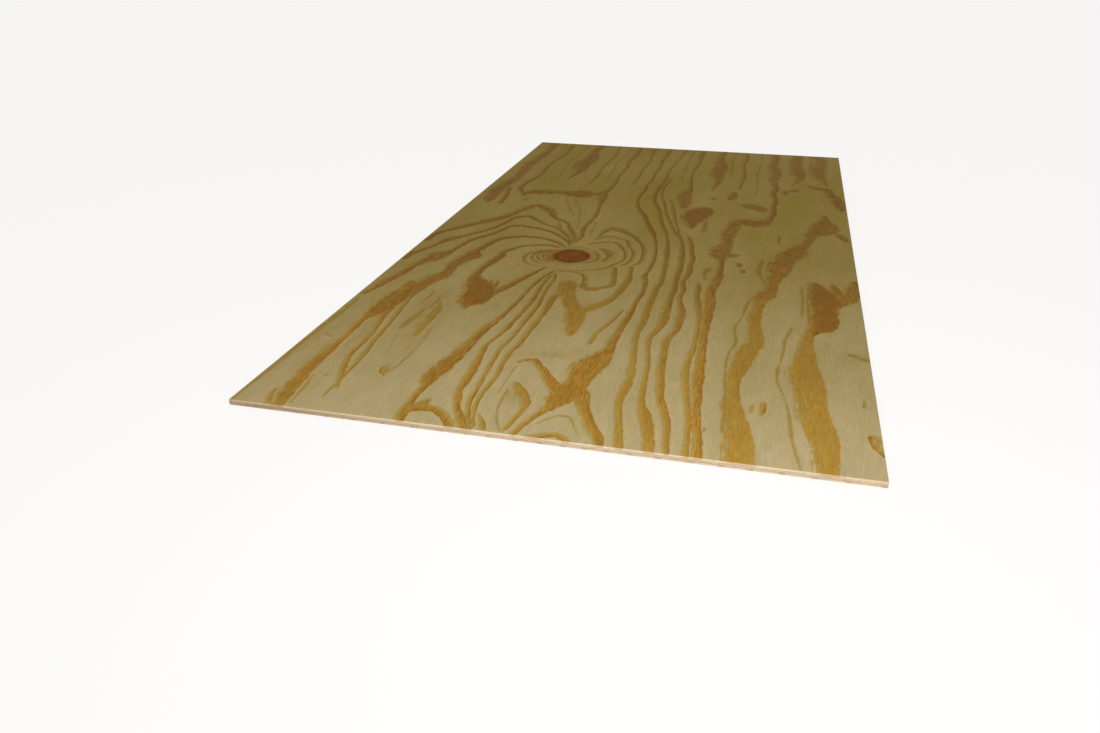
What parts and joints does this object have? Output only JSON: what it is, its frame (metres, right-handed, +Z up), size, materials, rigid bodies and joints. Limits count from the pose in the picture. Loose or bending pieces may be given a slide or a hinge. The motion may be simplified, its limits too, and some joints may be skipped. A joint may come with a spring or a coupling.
{
  "type": "plywood sheet",
  "caption": "Flat rectangular softwood plywood sheet: a cross-grain core veneer glued between a figured pine face veneer and a back veneer, for sheathing and general building work.",
  "frame": {"origin": "centre of the back face, on the surface that the sheet lies on", "axes": "+X across the width, +Y along the length and the face grain towards the far end, +Z up out of the sanded face"},
  "size_m": [1.219, 2.438, 0.0119],
  "materials": {
    "face_pine": "sanded bare pine, cream early wood with honey-brown late-wood figure and a red-brown knot",
    "core_pine": "bare pine, rough-sawn at the edges, grain across the sheet",
    "back_pine": "unsanded bare pine, grain along the sheet"
  },
  "bodies": {
    "root": {"face_veneer": "face_pine", "core_veneer": "core_pine", "back_veneer": "back_pine"}
  },
  "joints": []
}
